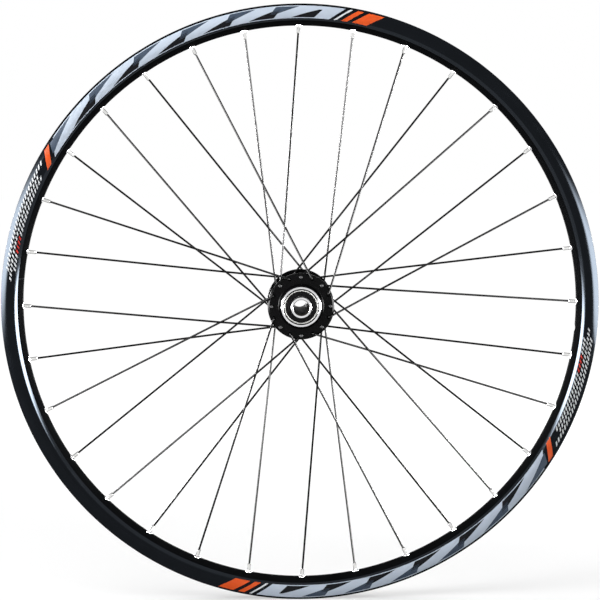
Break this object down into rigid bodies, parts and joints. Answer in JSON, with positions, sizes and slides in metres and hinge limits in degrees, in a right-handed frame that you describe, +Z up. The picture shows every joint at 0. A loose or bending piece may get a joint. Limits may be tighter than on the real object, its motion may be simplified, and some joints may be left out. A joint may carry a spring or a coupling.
{
  "type": "bicycle wheel",
  "caption": "Front mountain bike disc wheel without tyre: hollow black rim, crossed black wire spokes with silver nipples, and a hub on sealed bearings for a through axle.",
  "frame": {"origin": "centre of the wheel: on the axle line, half way between the two faces that meet the fork", "axes": "+Y along the axle towards the disc side, +Z up, +X to the right seen from the side away from the disc"},
  "size_m": [0.596, 0.1, 0.596],
  "materials": {
    "rim_black": "gloss black with pale graphic fields",
    "spoke_black": "black oxide, half gloss",
    "plated_silver": "nickel plated",
    "eyelet_silver": "bright plated",
    "hub_black": "black anodised, half gloss",
    "polished_silver": "turned and polished",
    "rubber_black": "matt",
    "axle_grey": "turned",
    "bearing_steel": "ground"
  },
  "bodies": {
    "axle": {"axle": "axle_grey", "right_end_cap": "polished_silver", "left_end_cap": "polished_silver", "right_bearing_inner_race": "bearing_steel", "left_bearing_inner_race": "bearing_steel"},
    "wheel": {"rim": "rim_black", "eyelets": "eyelet_silver", "nipples": "plated_silver", "spoke_01": "spoke_black", "spoke_02": "spoke_black", "spoke_03": "spoke_black", "spoke_04": "spoke_black", "spoke_05": "spoke_black", "spoke_06": "spoke_black", "spoke_07": "spoke_black", "spoke_08": "spoke_black", "spoke_09": "spoke_black", "spoke_10": "spoke_black", "spoke_11": "spoke_black", "spoke_12": "spoke_black", "spoke_13": "spoke_black", "spoke_14": "spoke_black", "spoke_15": "spoke_black", "spoke_16": "spoke_black", "spoke_17": "spoke_black", "spoke_18": "spoke_black", "spoke_19": "spoke_black", "spoke_20": "spoke_black", "spoke_21": "spoke_black", "spoke_22": "spoke_black", "spoke_23": "spoke_black", "spoke_24": "spoke_black", "spoke_25": "spoke_black", "spoke_26": "spoke_black", "spoke_27": "spoke_black", "spoke_28": "spoke_black", "spoke_29": "spoke_black", "spoke_30": "spoke_black", "spoke_31": "spoke_black", "spoke_32": "spoke_black", "hub_shell": "hub_black", "cover_ring": "polished_silver", "right_dust_seal": "rubber_black", "left_dust_seal": "rubber_black", "right_bearing_outer_race": "bearing_steel", "right_bearing_outer_seal": "rubber_black", "right_bearing_inner_seal": "rubber_black", "left_bearing_outer_race": "bearing_steel", "left_bearing_outer_seal": "rubber_black", "left_bearing_inner_seal": "rubber_black"},
    "right_balls": {"right_bearing_ball_ring": "bearing_steel"},
    "left_balls": {"left_bearing_ball_ring": "bearing_steel"}
  },
  "joints": [
    {"name": "wheel_spin", "type": "hinge", "parent": "axle", "child": "wheel", "pos_m": [0, 0, 0], "axis": [0, 1, 0], "continuous": true},
    {"name": "right_ball_spin", "type": "hinge", "parent": "axle", "child": "right_balls", "pos_m": [0, -0.0365, 0], "axis": [0, 1, 0], "continuous": true},
    {"name": "left_ball_spin", "type": "hinge", "parent": "axle", "child": "left_balls", "pos_m": [0, 0.0365, 0], "axis": [0, 1, 0], "continuous": true}
  ],
  "couplings": [
    {"joint": "right_ball_spin", "follows": "wheel_spin", "ratio": 0.5747},
    {"joint": "left_ball_spin", "follows": "wheel_spin", "ratio": 0.5747}
  ]
}
